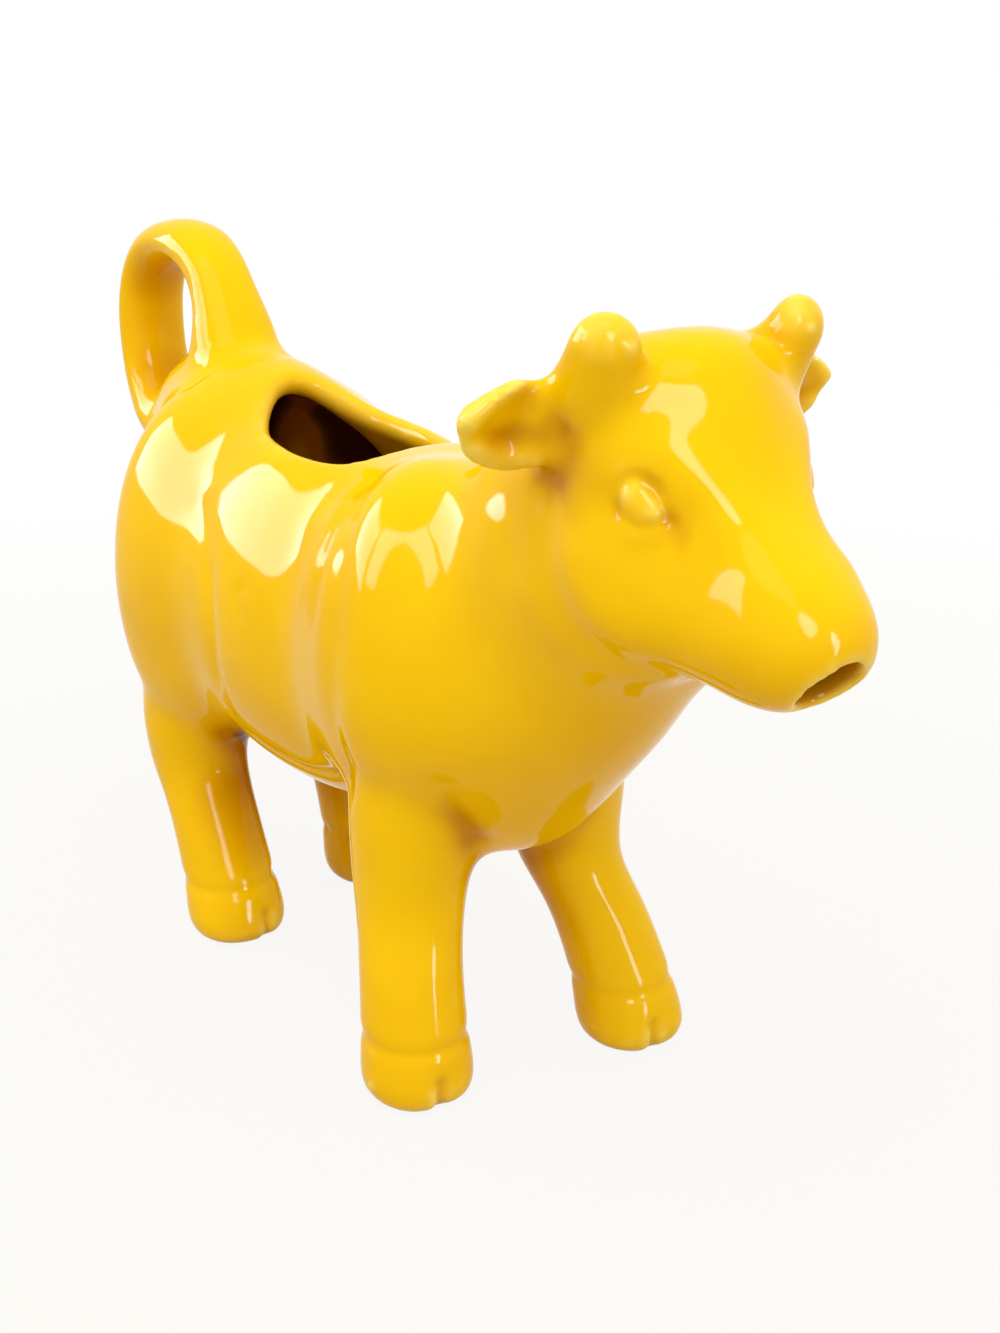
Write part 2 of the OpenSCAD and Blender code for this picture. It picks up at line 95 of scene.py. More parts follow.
def faceCentres(obj):
    centres = np.empty(len(obj.data.polygons) * 3, np.float32)
    obj.data.polygons.foreach_get("center", centres)
    return centres.reshape(-1, 3).astype(float)


def faceNormals(obj):
    no = np.empty(len(obj.data.polygons) * 3, np.float32)
    obj.data.polygons.foreach_get("normal", no)
    return no.reshape(-1, 3).astype(float)


def pickFaces(obj, picked):
    mesh = obj.data
    mesh.vertices.foreach_set("select", np.zeros(len(mesh.vertices), bool))
    mesh.edges.foreach_set("select", np.zeros(len(mesh.edges), bool))
    mesh.polygons.foreach_set("select", picked)


def edgeEnds(obj):
    ends = np.empty(len(obj.data.edges) * 2, np.int32)
    obj.data.edges.foreach_get("vertices", ends)
    return ends.reshape(-1, 2)


def relax(values, ends, passes, weight=1.0):
    # each pass takes a value halfway to the mean of its neighbours
    a, b = ends.T
    count = len(values)
    near = np.maximum(np.bincount(a, minlength=count) + np.bincount(b, minlength=count), 1)
    for _ in range(passes):
        mean = [(np.bincount(a, v[b], count) + np.bincount(b, v[a], count)) / near for v in values.T]
        values = values + 0.5 * weight * (np.stack(mean, 1) - values)
    return values


def nearSpots(co, spots):
    # a spot is x, y, z and reach in mm, and counts on both sides of the cow:
    # 1 within 0.6 of its reach, and 0 past 1.6 of it
    weight = np.zeros(len(co))
    for x, y, z, reach in spots:
        for side in (1, -1):
            away = np.linalg.norm(co / mm - (x, side * y, z), axis=1)
            weight = np.maximum(weight, np.clip(1.6 - away / reach, 0, 1))
    return weight[:, None]


# Clay pieces, copied from the CAD nodes

clay = {
    "merge": 0.002 * mm,
    "neckMerge": 0.02 * mm,  # head and trunk meet in one ring of points
    "quads": dict(face_threshold=0.9, shape_threshold=1.2),  # which triangles make up a quad
    "rounds": 2,  # subdivisions that take the facets off
    "press": 1.6 * mm,  # how deep a luted piece is pressed into the pot
    "reach": 0.8 * mm,  # how near the skin a luted piece's root lies
    "neckTilt": math.radians(40),  # lean of the ring where head and trunk meet
}
neckWay = np.array([math.cos(clay["neckTilt"]), 0, math.sin(clay["neckTilt"])])


def clayCopy(node):
    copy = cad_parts[node].copy()
    copy.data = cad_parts[node].data.copy()
    copy.parent = None
    copy.name = "clay_" + node
    copy.data.materials.clear()
    bpy.context.scene.collection.objects.link(copy)
    inEditMode(
        copy,
        lambda: bpy.ops.mesh.select_all(action="SELECT"),
        lambda: bpy.ops.mesh.remove_doubles(threshold=clay["merge"]),
        lambda: bpy.ops.mesh.tris_convert_to_quads(**clay["quads"]),
    )
    return copy


def roundOff(piece):
    # subdivision draws a form in, so its points are first set out by as much
    wanted = places(piece)
    for _ in range(2):
        trial = piece.copy()
        trial.data = piece.data.copy()
        bpy.context.scene.collection.objects.link(trial)
        finishWith(trial, "SUBSURF", levels=1, render_levels=1)
        movePlaces(piece, places(piece) + wanted - places(trial)[:len(wanted)])
        bpy.data.objects.remove(trial)
    finishWith(piece, "SUBSURF", levels=clay["rounds"], render_levels=clay["rounds"])


def openNeck(piece, facing):
    # takes away the flat faces where head and trunk meet, and gives their place along neckWay
    along = places(piece) @ neckWay * facing
    flat = faceCentres(piece) @ neckWay * facing > along.max() - clay["neckMerge"]
    pickFaces(piece, flat & (faceNormals(piece) @ neckWay * facing > 0.99))
    inEditMode(piece, lambda: bpy.ops.mesh.delete(type="ONLY_FACE"))
    return along.max() * facing


def throwPot():
    trunk = clayCopy("body")
    head = clayCopy("head")
    level = openNeck(trunk, 1)
    openNeck(head, -1)
    choose(trunk, head)
    bpy.ops.object.join()
    inEditMode(
        trunk,
        lambda: bpy.ops.mesh.select_all(action="SELECT"),
        lambda: bpy.ops.mesh.remove_doubles(threshold=clay["neckMerge"]),
        lambda: bpy.ops.mesh.select_all(action="SELECT"),
        lambda: bpy.ops.mesh.fill_holes(sides=4),
        lambda: bpy.ops.mesh.select_all(action="SELECT"),
        lambda: bpy.ops.mesh.normals_make_consistent(inside=False),
    )
    return trunk, level


flare = {  # how far the slip spreads a root in mm, and how high up the piece it reaches
    "leg": (1.6, 4.5),
    "horn": (0.9, 2.5),
    "ear": (0.8, 2.0),
    "tail": (1.8, 4.0),
    "udder": (1.5, 2.5),
}
horn = {
    "thinWay": math.radians(33),  # a horn is flattened outwards and forwards
    "thin": 0.78,  # its thickness there against its width
}
ear = {  # how tall it stands over its middle, along it from root to tip
    "along": (0, 0.35, 0.7, 1),
    "height": (1.4, 1.3, 0.95, 0.7),
}


def flattenHorn(co):
    side = math.copysign(1, co[0, 1])
    thinWay = np.array([math.cos(horn["thinWay"]), side * math.sin(horn["thinWay"])])
    axis = np.stack([np.polyval(np.polyfit(co[:, 2], co[:, k], 1), co[:, 2]) for k in (0, 1)], 1)
    off = (co[:, :2] - axis) @ thinWay
    co[:, :2] -= np.outer(off * (1 - horn["thin"]), thinWay)


def raiseEar(co):
    low, high = co.min(0), co.max(0)
    out = abs(co[:, 1])
    along = (out - out.min()) / (out.max() - out.min())
    over = np.maximum(co[:, 2] - (low[2] + high[2]) / 2, 0)
    co[:, 2] += over * (np.interp(along, ear["along"], ear["height"]) - 1)


def pressRoot(co, pot):
    for i, p in enumerate(co):
        spot, normal, _, gap = pot.find_nearest(Vector(p))
        if gap < clay["reach"]:
            co[i] = spot - normal * clay["press"]


def flareRoot(piece, pot, spread, height):
    co = places(piece)
    out = normals(piece)
    for i, p in enumerate(co):
        spot, normal, _, gap = pot.find_nearest(Vector(p))
        if (Vector(p) - spot) @ normal > 0:
            co[i] += out[i] * spread * mm * math.exp(-gap / (height * mm))
    movePlaces(piece, co)


def luteOn(node, pot):
    piece = clayCopy(node)
    co = places(piece)
    kind = node.split("_")[0]
    if kind == "horn":
        flattenHorn(co)
    if kind == "ear":
        raiseEar(co)
    pressRoot(co, pot)
    movePlaces(piece, co)
    roundOff(piece)
    flareRoot(piece, pot, *flare[kind])
    return piece


cow, neckLevel = throwPot()
roundOff(cow)
potSkin = BVHTree.FromObject(cow, bpy.context.evaluated_depsgraph_get())
luted = [luteOn(node, potSkin) for node in lutedNodes]
choose(cow, *luted)
bpy.ops.object.join()
cow.name = "cow"
print("clay pieces luted on:", len(luted))


# Fusing and smoothing

wet = {
    "grain": 0.8 * mm,  # voxels that fuse the clay
    "sponging": 5,  # passes of smoothing all over
    "evening": 50,  # passes that take out broader bumps where the form is plain
    "flank": 160,  # the same where the flank runs on into the shoulder
    "filling": 30,  # passes where slip fills the joints
    "lips": 14,  # passes that round the lips of the spout
    "wiping": (3, 2),  # passes before and after the modelling
}
rim = {"middle": -14.5, "halfLength": 20, "halfWidth": 13, "above": 75, "fade": 4}  # of the filler hole, in mm
spots = {  # x, y, z and reach in mm, right and left alike
    "crisp": [(54.5, 22, 103, 10), (61.5, 14.5, 112, 6), (87, 0, 77, 6)],  # ears, horns and spout keep their form
    "joints": [
        (59, 13.4, 106, 6), (55, 15.5, 100.5, 3.5),  # horns and ears
        (25, 17, 41, 8), (-46, 15, 38, 8), (-31, 13, 36, 5),  # legs
        (-52.5, 0, 97.5, 7), (-76, 0, 80.5, 6), (-34.2, 0, 33, 6),  # tail and udder
    ],
    "flankEnd": [
        (6.5, 20, 79, 6), (7.5, 22, 73, 8), (8, 23.5, 66, 8), (8, 23.5, 58, 8), (8, 21, 50, 8), (8, 18, 44, 8)],
    "lips": [(86.5, 0, 77, 5)],
}
fine = {  # where the clay is fine enough for the modelling
    "hoofTop": 12 * mm,
    "neckBack": 4 * mm,  # how far behind the neck joint it starts
}


def evenOut(obj, passes, weight):
    # small bumps go, and the broad form that smoothing would draw in is put back
    co = places(obj)
    ends = edgeEnds(obj)
    low = relax(co, ends, passes)
    even = low + relax(co - low, ends, 2 * passes)
    movePlaces(obj, co + weight * (even - co))


def sponge(obj):
    co = places(obj)
    across = np.hypot((co[:, 0] / mm - rim["middle"]) / rim["halfLength"], co[:, 1] / mm / rim["halfWidth"])
    plain = np.where(co[:, 2] > rim["above"] * mm, np.clip((across - 1) * rim["fade"], 0, 1), 1)[:, None]
    evenOut(obj, wet["evening"], plain * (1 - nearSpots(co, spots["crisp"])))
    co = places(obj)
    movePlaces(obj, relax(co, edgeEnds(obj), wet["filling"], nearSpots(co, spots["joints"])))
    evenOut(obj, wet["flank"], nearSpots(places(obj), spots["flankEnd"]))


def refine(obj):
    centres = faceCentres(obj)
    onHead = centres @ neckWay > neckLevel - fine["neckBack"]
    onHoof = centres[:, 2] < fine["hoofTop"]
    pickFaces(obj, onHead | onHoof)
    inEditMode(obj, lambda: bpy.ops.mesh.subdivide(number_cuts=1, smoothness=0))
    finishWith(obj, "SMOOTH", factor=0.5, iterations=wet["wiping"][0])
    co = places(obj)
    movePlaces(obj, relax(co, edgeEnds(obj), wet["lips"], nearSpots(co, spots["lips"])))


finishWith(cow, "REMESH", mode="VOXEL", voxel_size=wet["grain"], use_smooth_shade=True)
finishWith(cow, "SMOOTH", factor=0.5, iterations=wet["sponging"])
sponge(cow)
print("fused clay:", len(cow.data.polygons), "faces")
refine(cow)
print("with fine clay:", len(cow.data.polygons), "faces")


# Modelling strokes: each raises or presses in the clay along a line on the skin.
# Points are in mm on the right side, width is how far the stroke spreads and push its height

strokes = {
    "flank end": dict(push=0.5, width=5.0, line=[
        (6.0, -19.0, 80.0), (8.3, -22.3, 73.0), (9.3, -23.8, 65.0), (9.5, -23.5, 57.0), (9.5, -21.0, 49.0)]),
    "shoulder fold": dict(push=-0.75, width=3.0, line=[
        (11.5, -14.0, 88.3), (17.5, -21.3, 85.0), (21.2, -24.6, 78.2), (22.2, -26.4, 70.3),
        (21.4, -26.8, 64.3), (20.0, -26.0, 58.0), (18.6, -24.0, 51.5), (17.8, -21.3, 46.5)]),
    "brow": dict(push=0.9, width=4.2, line=[
        (64.4, -15.1, 99.4), (67.5, -13.2, 101.0), (70.5, -10.6, 100.2), (74.0, -7.6, 96.4),
        (77.4, -6.2, 92.4), (80.4, -6.7, 88.8)]),
    "eye socket": dict(push=-0.9, width=3.4, line=[
        (66.0, -15.2, 96.4), (69.0, -13.6, 97.2), (72.0, -11.2, 94.2)]),
    "face hollow": dict(push=-0.45, width=5.0, line=[(71.5, -12.0, 91.0), (76.5, -10.0, 87.5)]),
    "eyeball": dict(push=1.15, width=2.5, line=[(67.3, -14.3, 96.6), (69.6, -13.0, 95.0)]),
    "eye crease": dict(push=-0.55, width=0.85, line=[
        (65.8, -15.2, 95.2), (66.2, -14.9, 97.2), (67.6, -13.9, 98.7), (69.5, -12.7, 98.0),
        (71.0, -11.9, 95.9), (71.7, -11.5, 94.0)]),
    "under the eye": dict(push=-0.25, width=0.8, line=[
        (66.4, -15.1, 94.3), (68.6, -14.0, 93.1), (70.6, -12.6, 93.4)]),
    "lower lid": dict(push=0.12, width=1.3, line=[
        (66.6, -15.1, 93.0), (68.8, -14.0, 91.9), (71.0, -12.5, 92.3)]),
    "jaw": dict(push=-0.7, width=3.2, line=[
        (54.6, -16.2, 97.5), (55.0, -16.9, 92.5), (56.2, -17.5, 87.5), (58.2, -17.4, 83.0),
        (61.4, -16.2, 79.0), (65.1, -14.0, 76.4), (69.0, -9.8, 74.6)]),
    "cheek": dict(push=0.5, width=4.0, line=[
        (61.0, -17.0, 88.0), (63.5, -16.2, 83.5), (67.5, -14.2, 80.0)]),
    "flank fold": dict(push=-0.45, width=2.6, line=[
        (-26.5, -22.2, 78.5), (-21.0, -23.8, 75.0), (-18.0, -24.9, 71.0), (-16.2, -25.9, 65.5),
        (-16.0, -25.9, 59.0), (-17.6, -24.6, 52.0), (-19.5, -22.4, 46.5)]),
    "flank line": dict(push=-0.3, width=0.8, line=[
        (-17.2, -25.3, 70.0), (-16.2, -25.9, 65.5), (-16.0, -25.9, 59.0), (-17.6, -24.6, 52.0)]),
    "flank hook": dict(push=-0.3, width=0.8, line=[
        (-7.4, -24.6, 70.0), (-8.9, -25.1, 67.4), (-7.0, -25.2, 65.4)]),
    "shoulder front": dict(push=-0.5, width=3.2, line=[
        (42.0, -14.8, 94.5), (47.0, -16.8, 91.5), (49.6, -17.8, 86.0)]),
    "armpit": dict(push=-0.6, width=2.4, line=[
        (33.0, -10.5, 40.0), (34.2, -14.5, 45.0), (35.4, -18.0, 50.5)]),
    "belly crease": dict(push=-0.6, width=1.2, line=[
        (-15.5, -19.5, 42.6), (-9.5, -18.2, 40.8), (-2.5, -17.0, 40.2), (4.5, -17.0, 41.0), (10.5, -17.5, 42.8)]),
    "tail collar": dict(push=-0.35, width=1.2, line=[
        (-47.0, -12.2, 93.0), (-46.4, -8.7, 95.2), (-44.0, -4.3, 97.1), (-41.5, 0.0, 97.3)]),
    "ear groove": dict(push=-0.25, width=1.7, line=[
        (55.5, -18.0, 101.6), (55.5, -22.0, 102.2), (55.2, -26.5, 103.0)]),
    "ear lobe": dict(push=0.8, width=1.7, line=[
        (56.0, -19.0, 98.8), (56.0, -23.0, 99.2), (55.5, -27.0, 100.8)]),
    "ear roll": dict(push=0.4, width=1.6, line=[
        (55.5, -19.0, 104.6), (55.2, -23.0, 105.6), (54.8, -27.0, 105.0)]),
}


def smoothLine(points, steps=6):
    # a curve through the points
    points = np.array(points, float)
    ends = np.vstack([2 * points[0] - points[1], points, 2 * points[-1] - points[-2]])
    line = []
    for a, b, c, d in zip(ends, ends[1:], ends[2:], ends[3:]):
        for t in np.arange(steps) / steps:
            line.append((2 * b + (c - a) * t + (2 * a - 5 * b + 4 * c - d) * t**2
                         + (3 * b - 3 * c + d - a) * t**3) / 2)
    return np.array(line + [points[-1]])


def press(obj, line, push, width):
    # line, push and width are in mm
    co = places(obj) / mm
    no = normals(obj)
    near = np.nonzero(((co > line.min(0) - 3 * width) & (co < line.max(0) + 3 * width)).all(1))[0]
    spots = co[near]
    gap = np.full(len(near), np.inf)
    for a, b in zip(line, line[1:]):
        along = b - a
        t = np.clip((spots - a) @ along / max(along @ along, 1e-9), 0, 1)
        gap = np.minimum(gap, np.linalg.norm(spots - a - t[:, None] * along, axis=1))
    co[near] += no[near] * (push * np.exp(-((gap / width) ** 2)))[:, None]
    movePlaces(obj, co * mm)


def modelClay(obj):
    for stroke in strokes.values():
        skin = BVHTree.FromObject(obj, bpy.context.evaluated_depsgraph_get())
        line = smoothLine(stroke["line"])
        for side in (1, -1):
            spots = [skin.find_nearest(Vector(p * (1, side, 1)) * mm)[0] / mm for p in line]
            press(obj, np.array(spots), stroke["push"], stroke["width"])


hoof = {  # in mm
    "ring": dict(push=-0.3, width=1.1, height=9.4),
    "cleft": dict(push=-0.9, width=0.9, bottom=0.6, top=4.6),
    "foot": 4,  # what lies lower is the foot, whose middle the ring goes round
    "outside": 30,  # the ring's points are looked for from this far off
    "toes": {  # degrees that a foot points away from straight ahead
        "leg_front_right": -5, "leg_front_left": -8, "leg_rear_right": 15, "leg_rear_left": -15},
}


def shoeCow(obj, node):
    low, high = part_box(node)
    side = math.copysign(1, low.y)
    skin = BVHTree.FromObject(obj, bpy.context.evaluated_depsgraph_get())
    ring, cleft = hoof["ring"], hoof["cleft"]
    co = places(obj)
    foot = co[(co[:, 2] < hoof["foot"] * mm) & (abs(co[:, 0] - (low.x + high.x) / 2) < (high.x - low.x) / 2 + mm)
              & (co[:, 1] * side > 0)]
    centre = (np.min(foot, 0) + np.max(foot, 0)) / 2

    def onSkin(turn, height):
        way = Vector((math.cos(turn), math.sin(turn), 0))
        start = Vector((centre[0], centre[1], height * mm)) + way * hoof["outside"] * mm
        return np.array(skin.ray_cast(start, -way)[0]) / mm

    turns = np.radians(np.arange(0, 361, 12))
    press(obj, np.array([onSkin(turn, ring["height"]) for turn in turns]), ring["push"], ring["width"])
    front = math.radians(hoof["toes"][node])
    line = np.array([onSkin(front, height) for height in np.linspace(cleft["bottom"], cleft["top"], 6)])
    press(obj, line, cleft["push"], cleft["width"])


modelClay(cow)
for node in lutedNodes:
    if node.startswith("leg"):
        shoeCow(cow, node)
finishWith(cow, "SMOOTH", factor=0.5, iterations=wet["wiping"][1])
stood = places(cow)
stood[:, 2] = np.maximum(stood[:, 2], 0)  # the soles are flat on the table
movePlaces(cow, stood)
print("clay modelled")


# How deep the glaze lies, and painted shade where the cow hides itself from the light

pooling_and_shade = {
    "reach": 40 * mm,  # how far off a wall still puts painted shade on a spot
    "facing": 0.25,  # ways out that lie flatter than this on the skin don't count
    "lift": 0.3 * mm,  # where they start above the skin
    "open": 0.12,  # occlusion up to which no painted shade is laid on
    "hollow": 0.8 * mm,  # depth of a fold that is full of glaze
    "dale": 1.4 * mm,  # depth of a broad hollow that is full of glaze
    # shelter is painted shade where the cow hides its own light; fold and dale are glaze pooling
    "shares": dict(fold=0.6, dale=0.75, occlusion_shade=1.8),
    "passes": dict(near=8, wide=60, broad=260, glaze=10),  # of evening, to tell narrow forms from broad ones
    "edge": (0.35, 0.9),  # bends where the glaze begins to thin and where it is thinnest, in 1/mm; the pale thin glaze there is partly painted sheen
    "lips": 1.5,  # how much thinner still it is on the lips of the spout, whose pale rim is partly painted sheen
    "paler": [(86.5, 0, 77, 5), (55.5, 23, 101.5, 6)],  # spout and ears, where less of it pools and less painted shade is laid on
    "less": 0.45,  # and how much less
}
# ways out along which painted shade from the cow itself is looked for
skyWays = [Vector(w).normalized() for w in (
    (1, 0, 0), (-1, 0, 0), (0, 1, 0), (0, -1, 0), (0, 0, 1), (0, 0, -1),
    (1, 1, 1), (1, 1, -1), (1, -1, 1), (1, -1, -1), (-1, 1, 1), (-1, 1, -1), (-1, -1, 1), (-1, -1, -1))]


def occlusion_shade(obj):
    # share of the ways out from each spot that meet the cow itself close by, laid on the glaze as painted shade
    tree = BVHTree.FromObject(obj, bpy.context.evaluated_depsgraph_get())
    co = places(obj)
    out = normals(obj)
    met = np.zeros(len(co))
    total = np.full(len(co), 0.01)
    for way in skyWays:
        facing = out @ np.array(way)
        total += np.maximum(facing, 0)
        for i in np.nonzero(facing > pooling_and_shade["facing"])[0]:
            gap = tree.ray_cast(Vector(co[i] + out[i] * pooling_and_shade["lift"]), way, pooling_and_shade["reach"])[3]
            if gap is not None:
                met[i] += facing[i] * (1 - gap / pooling_and_shade["reach"]) ** 0.5
    return met / total


def bends(co, near, out, ends):
    # how sharply the skin bends outwards, in 1/mm, whatever the size of its grid
    span = ((co[ends[:, 0]] - co[ends[:, 1]]) ** 2).sum(1) / mm**2
    count = len(co)
    grid = (np.bincount(ends[:, 0], span, count) + np.bincount(ends[:, 1], span, count)) / np.maximum(
        np.bincount(ends.ravel(), minlength=count), 1)
    return ((co - near) * out).sum(1) / mm / grid


def glazeDepth(obj):
    # the glaze runs off edges and pools in hollows and folds, and painted shade is added where the cow hides a
    # spot from the light
    co = places(obj)
    ends = edgeEnds(obj)
    out = normals(obj)
    passes, shares = pooling_and_shade["passes"], pooling_and_shade["shares"]
    near = relax(co, ends, passes["near"])
    wide = relax(near, ends, passes["wide"])
    broad = relax(wide, ends, passes["broad"])
    begin, full = pooling_and_shade["edge"]
    # pale thin glaze on sharp bends, partly painted sheen
    edge = np.clip((bends(co, near, out, ends) - begin) / (full - begin), 0, 1)
    edge = np.clip(edge * (1 + pooling_and_shade["lips"] * nearSpots(co, spots["lips"])[:, 0]), 0, 1)
    fold = np.clip(((wide - co) * out).sum(1) / pooling_and_shade["hollow"], 0, 1)
    dale = np.clip(((broad - co) * out).sum(1) / pooling_and_shade["dale"], 0, 1)
    # painted shade: how much the cow hides each spot from the light around it
    painted_shade = occlusion_shade(obj) - pooling_and_shade["open"]
    pool_and_shade = np.clip(fold * shares["fold"] + dale * shares["dale"] + painted_shade * shares["occlusion_shade"], 0, 1)
    pool_and_shade *= 1 - pooling_and_shade["less"] * nearSpots(co, pooling_and_shade["paler"])[:, 0]
    for name, values in (("thin", edge), ("pool_and_shade", pool_and_shade)):
        smooth = relax(values[:, None], ends, passes["glaze"])
        attribute = obj.data.attributes.new(name, "FLOAT", "POINT")
        attribute.data.foreach_set("value", smooth.ravel().astype(np.float32))
    attribute = obj.data.attributes.new("skin", "FLOAT_VECTOR", "POINT")  # normals, for the parted pieces
    attribute.data.foreach_set("vector", out.ravel().astype(np.float32))


# Parting the cow into the pieces that it was luted from

part = {
    "near": 4 * mm,  # how far from a CAD piece its skin may lie
    "jointPasses": 8,  # passes that smooth the joint lines
    "wall": 0.8 * mm,  # depth of the cut's wall under the skin
    "neckTouch": 0.01 * mm,
}


def nodeOfFaces(obj):
    # each face belongs to the CAD piece that it lies nearest to
    co = places(obj)
    far = part["near"]
    gaps = np.full((len(co), len(nodeNames)), far)
    for i, node in enumerate(nodeNames):
        low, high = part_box(node)
        inside = ((co > np.array(low) - far) & (co < np.array(high) + far)).all(1)
        tree = BVHTree.FromObject(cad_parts[node], bpy.context.evaluated_depsgraph_get())
        for k in np.nonzero(inside)[0]:
            gaps[k, i] = min(far, tree.find_nearest(Vector(co[k]))[3])
    pot = [nodeNames.index("body"), nodeNames.index("head")]
    gaps[:, pot] = gaps[:, pot].min(1)[:, None]
    gaps = relax(gaps, edgeEnds(obj), part["jointPasses"])
    corners = np.array([p.vertices[:3] for p in obj.data.polygons])
    owner = gaps[corners].mean(1).argmin(1)
    onPot = np.isin(owner, pot)
    owner[onPot] = np.where(faceCentres(obj)[onPot] @ neckWay > neckLevel, pot[1], pot[0])
    return owner


def partFrom(obj, name, picked):
    pickFaces(obj, picked)
    inEditMode(obj, lambda: bpy.ops.mesh.separate(type="SELECTED"))
    piece = next(o for o in bpy.context.selected_objects if o is not obj)
    piece.name = name
    return piece


def openEdges(piece):
    edgeOfLoop = np.empty(len(piece.data.loops), np.int32)
    piece.data.loops.foreach_get("edge_index", edgeOfLoop)
    return np.bincount(edgeOfLoop, minlength=len(piece.data.edges)) == 1


def pickEdges(piece, picked):
    mesh = piece.data
    bpy.context.tool_settings.mesh_select_mode = (False, True, False)
    chosen = np.zeros(len(mesh.vertices), bool)
    chosen[edgeEnds(piece)[picked].ravel()] = True
    mesh.vertices.foreach_set("select", chosen)
    mesh.edges.foreach_set("select", picked)
    mesh.polygons.foreach_set("select", np.zeros(len(mesh.polygons), bool))
    choose(piece)


def inEdges(piece, picked, step):
    pickEdges(piece, picked)
    bpy.ops.object.mode_set(mode="EDIT")
    step()
    bpy.ops.object.mode_set(mode="OBJECT")


def readSkin(piece):
    skin = np.empty(len(piece.data.vertices) * 3, np.float32)
    piece.data.attributes["skin"].data.foreach_get("vector", skin)
    return skin.reshape(-1, 3)


def closeCut(piece):
    neck = abs(places(piece) @ neckWay - neckLevel) < part["neckTouch"]
    onNeck = openEdges(piece) & neck[edgeEnds(piece)].all(1)
    if onNeck.any():
        inEdges(piece, onNeck, bpy.ops.mesh.bridge_edge_loops)
    inEdges(piece, openEdges(piece), bpy.ops.mesh.extrude_edges_move)  # a short wall down into the clay
    co = places(piece)
    foot = np.zeros(len(co), bool)
    foot[edgeEnds(piece)[openEdges(piece)].ravel()] = True
    co[foot] -= readSkin(piece)[foot] * part["wall"]
    movePlaces(piece, co)
    inEdges(piece, openEdges(piece), lambda: bpy.ops.mesh.fill_holes(sides=0))
    if openEdges(piece).any():
        inEdges(piece, openEdges(piece), lambda: bpy.ops.mesh.fill(use_beauty=False))
    piece.data.shade_smooth()
    piece.data.normals_split_custom_set_from_vertices(readSkin(piece))


inEditMode(
    cow,
    lambda: bpy.ops.mesh.select_all(action="SELECT"),
    lambda: bpy.ops.mesh.bisect(plane_co=tuple(neckWay * neckLevel), plane_no=tuple(neckWay), threshold=1e-6),
)
glazeDepth(cow)
owner = nodeOfFaces(cow)
pieces = {}
for index, node in enumerate(nodeNames):
    if node != "body":
        pieces[node] = partFrom(cow, "glazed_" + node, owner == index)
        owner = owner[owner != index]
cow.name = "glazed_body"
pieces["body"] = cow
for piece in pieces.values():
    closeCut(piece)
print("pieces parted:", {node: len(piece.data.polygons) for node, piece in pieces.items()})


# Glaze

class Link:
    def __init__(self, tree, socket):
        self.tree = tree
        self.socket = socket

    def node(self, kind, settings=None, inputs=None, out=0):
        made = self.tree.nodes.new(kind)
        for name, value in (settings or {}).items():
            setattr(made, name, value)
        for name, value in (inputs or {}).items():
            if isinstance(value, Link):
                self.tree.links.new(value.socket, made.inputs[name])
            else:
                made.inputs[name].default_value = value
        return Link(self.tree, made.outputs[out])

    def maths(self, operation, a, b):
        return self.node("ShaderNodeMath", {"operation": operation}, {0: a, 1: b})

    def __mul__(self, other):
        return self.maths("MULTIPLY", self, other)

    def __rmul__(self, other):
        return self.maths("MULTIPLY", other, self)

    def ramp(self, low, high, start=0.0, end=1.0):
        return self.node("ShaderNodeMapRange", inputs={0: self, 1: low, 2: high, 3: start, 4: end})

    def mixed(self, a, b):
        return self.node("ShaderNodeMix", {"data_type": "RGBA"}, {0: self, 6: a, 7: b}, out=2)


glaze = {
    "yellow": (0.94, 0.56, 0.001, 1),
    # deep: amber of thick glaze; through the pool mask it is also painted shade
    "deep": (0.62, 0.26, 0.001, 1),
    # darkest: painted shade, near black, in the deepest hollows and inside the pot
    "darkest_shade": (0.09, 0.02, 0.001, 1),
    # thin: pale glaze where it runs thin on edges, partly painted sheen
    "thin": (0.98, 0.74, 0.14, 1),
    "deepFrom": (0.0, 0.5),  # how full of glaze and painted shade a spot is where the deep colour starts and where it is whole
    # where the painted shade starts and where it is whole
    "darkestShadeFrom": (0.78, 1.0),
    "thinAndSheenShare": 0.9,
    "clouds": (45.0, 0.22),  # how many to a metre, and the most deep colour that they add
    "waves": (110.0, 0.10),  # how many to a metre, and how strong
    "specks": 900.0,
    "roughness": (0.07, 0.105),
    "mirroring": 0.07,  # share of full gloss
}


